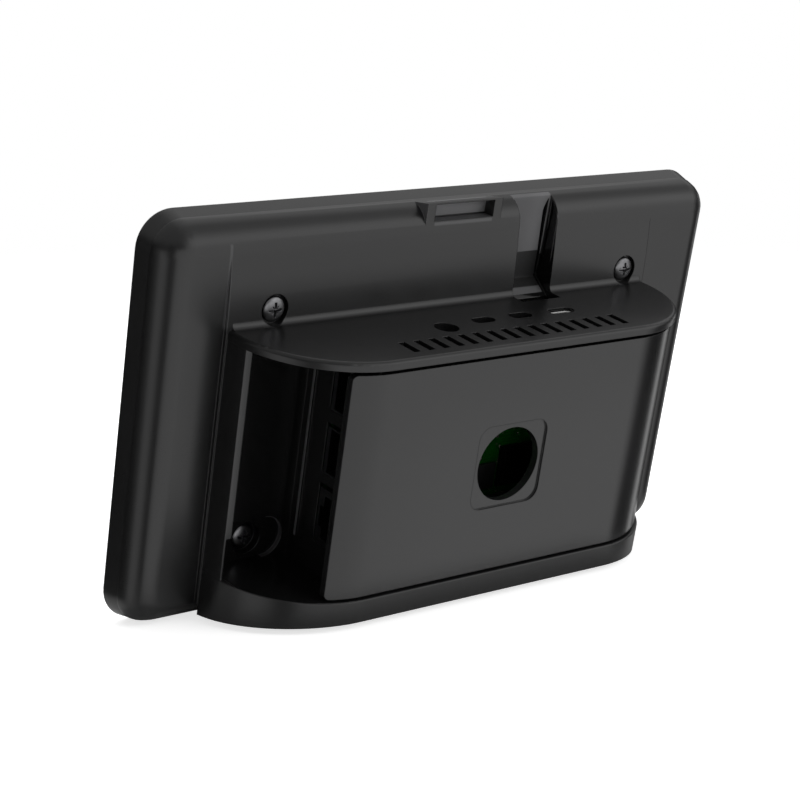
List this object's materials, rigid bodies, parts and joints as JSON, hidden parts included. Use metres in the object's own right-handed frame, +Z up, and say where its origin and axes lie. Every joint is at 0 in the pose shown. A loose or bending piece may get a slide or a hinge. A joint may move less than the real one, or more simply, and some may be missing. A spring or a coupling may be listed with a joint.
{
  "type": "smart display",
  "caption": "Desktop smart display leaning back, with a touch panel in a charcoal housing and a D-shaped box behind it that holds a single-board computer under a pull-off cover.",
  "frame": {"origin": "middle of the footprint, on the table under the rubber feet", "axes": "the screen faces -Y and leans back, +X is the side with the network and USB ports, +Z is up"},
  "size_m": [0.197, 0.0646, 0.1126],
  "materials": {
    "housing_plastic": "satin charcoal moulding with a fine grain",
    "cover_plastic": "satin charcoal moulding with a fine grain",
    "cover_glass": "black-backed toughened glass",
    "panel_glass": "dark liquid crystal cell",
    "clear_acrylic": "clear light guide",
    "black_foam": "black foam tape",
    "panel_metal": "pressed sheet",
    "turned_steel": "turned bush",
    "screw_steel": "plated screw",
    "brass_metal": "turned brass",
    "gold_pin": "gold-plated pin",
    "board_green": "green solder mask",
    "chip_black": "black moulded package",
    "chip_metal": "black package with a raised lid",
    "port_metal": "tinned steel shell",
    "tongue_plastic": "blue contact tongue",
    "socket_cream": "cream moulding",
    "latch_plastic": "black latch bar",
    "card_plastic": "black memory card",
    "ribbon_white": "white flat cable",
    "flex_amber": "amber flexible circuit",
    "lead_red": "red insulation",
    "lead_black": "black insulation",
    "foot_rubber": "soft black rubber"
  },
  "bodies": {
    "housing": {"front_bezel": "housing_plastic", "touch_glass": "cover_glass", "bonding_tape": "black_foam", "lcd_cell": "panel_glass", "backlight_guide": "clear_acrylic", "lcd_metal_back": "panel_metal", "panel_bushes": "turned_steel", "panel_posts": "brass_metal", "driver_board": "board_green", "driver_chips": "chip_black", "driver_sockets": "socket_cream", "panel_flex": "flex_amber", "touch_flex": "flex_amber", "back_shell": "housing_plastic", "panel_screws": "screw_steel", "rubber_feet": "foot_rubber", "computer_board": "board_green", "board_standoffs": "brass_metal", "board_screws": "screw_steel", "processor": "chip_metal", "memory_chip": "chip_black", "board_chips": "chip_black", "radio_shield": "port_metal", "pin_header": "chip_black", "header_pins": "gold_pin", "usb_ports": "port_metal", "usb_tongues": "tongue_plastic", "ethernet_jack": "port_metal", "usb_c_port": "port_metal", "micro_hdmi_ports": "port_metal", "av_jack": "chip_black", "av_jack_barrel": "chip_black", "display_socket": "socket_cream", "camera_socket": "socket_cream", "card_slot": "port_metal", "display_ribbon": "ribbon_white", "red_lead": "lead_red", "black_lead": "lead_black", "lead_plugs": "chip_black"},
    "cover": {"rear_cover": "cover_plastic"},
    "memory_card": {"micro_sd_card": "card_plastic"},
    "display_cable_latch": {"display_latch": "latch_plastic"},
    "camera_cable_latch": {"camera_latch": "latch_plastic"}
  },
  "joints": [
    {"name": "cover_slide", "type": "slide", "parent": "housing", "child": "cover", "axis": [0, 0.9763, -0.2164], "range_m": [0, 0.03]},
    {"name": "card_slide", "type": "slide", "parent": "housing", "child": "memory_card", "axis": [-1, 0, 0], "range_m": [0, 0.0123]},
    {"name": "display_latch_slide", "type": "slide", "parent": "housing", "child": "display_cable_latch", "axis": [0, 0.9763, -0.2164], "range_m": [0, 0.0012]},
    {"name": "camera_latch_slide", "type": "slide", "parent": "housing", "child": "camera_cable_latch", "axis": [0, 0.9763, -0.2164], "range_m": [0, 0.0012]}
  ]
}
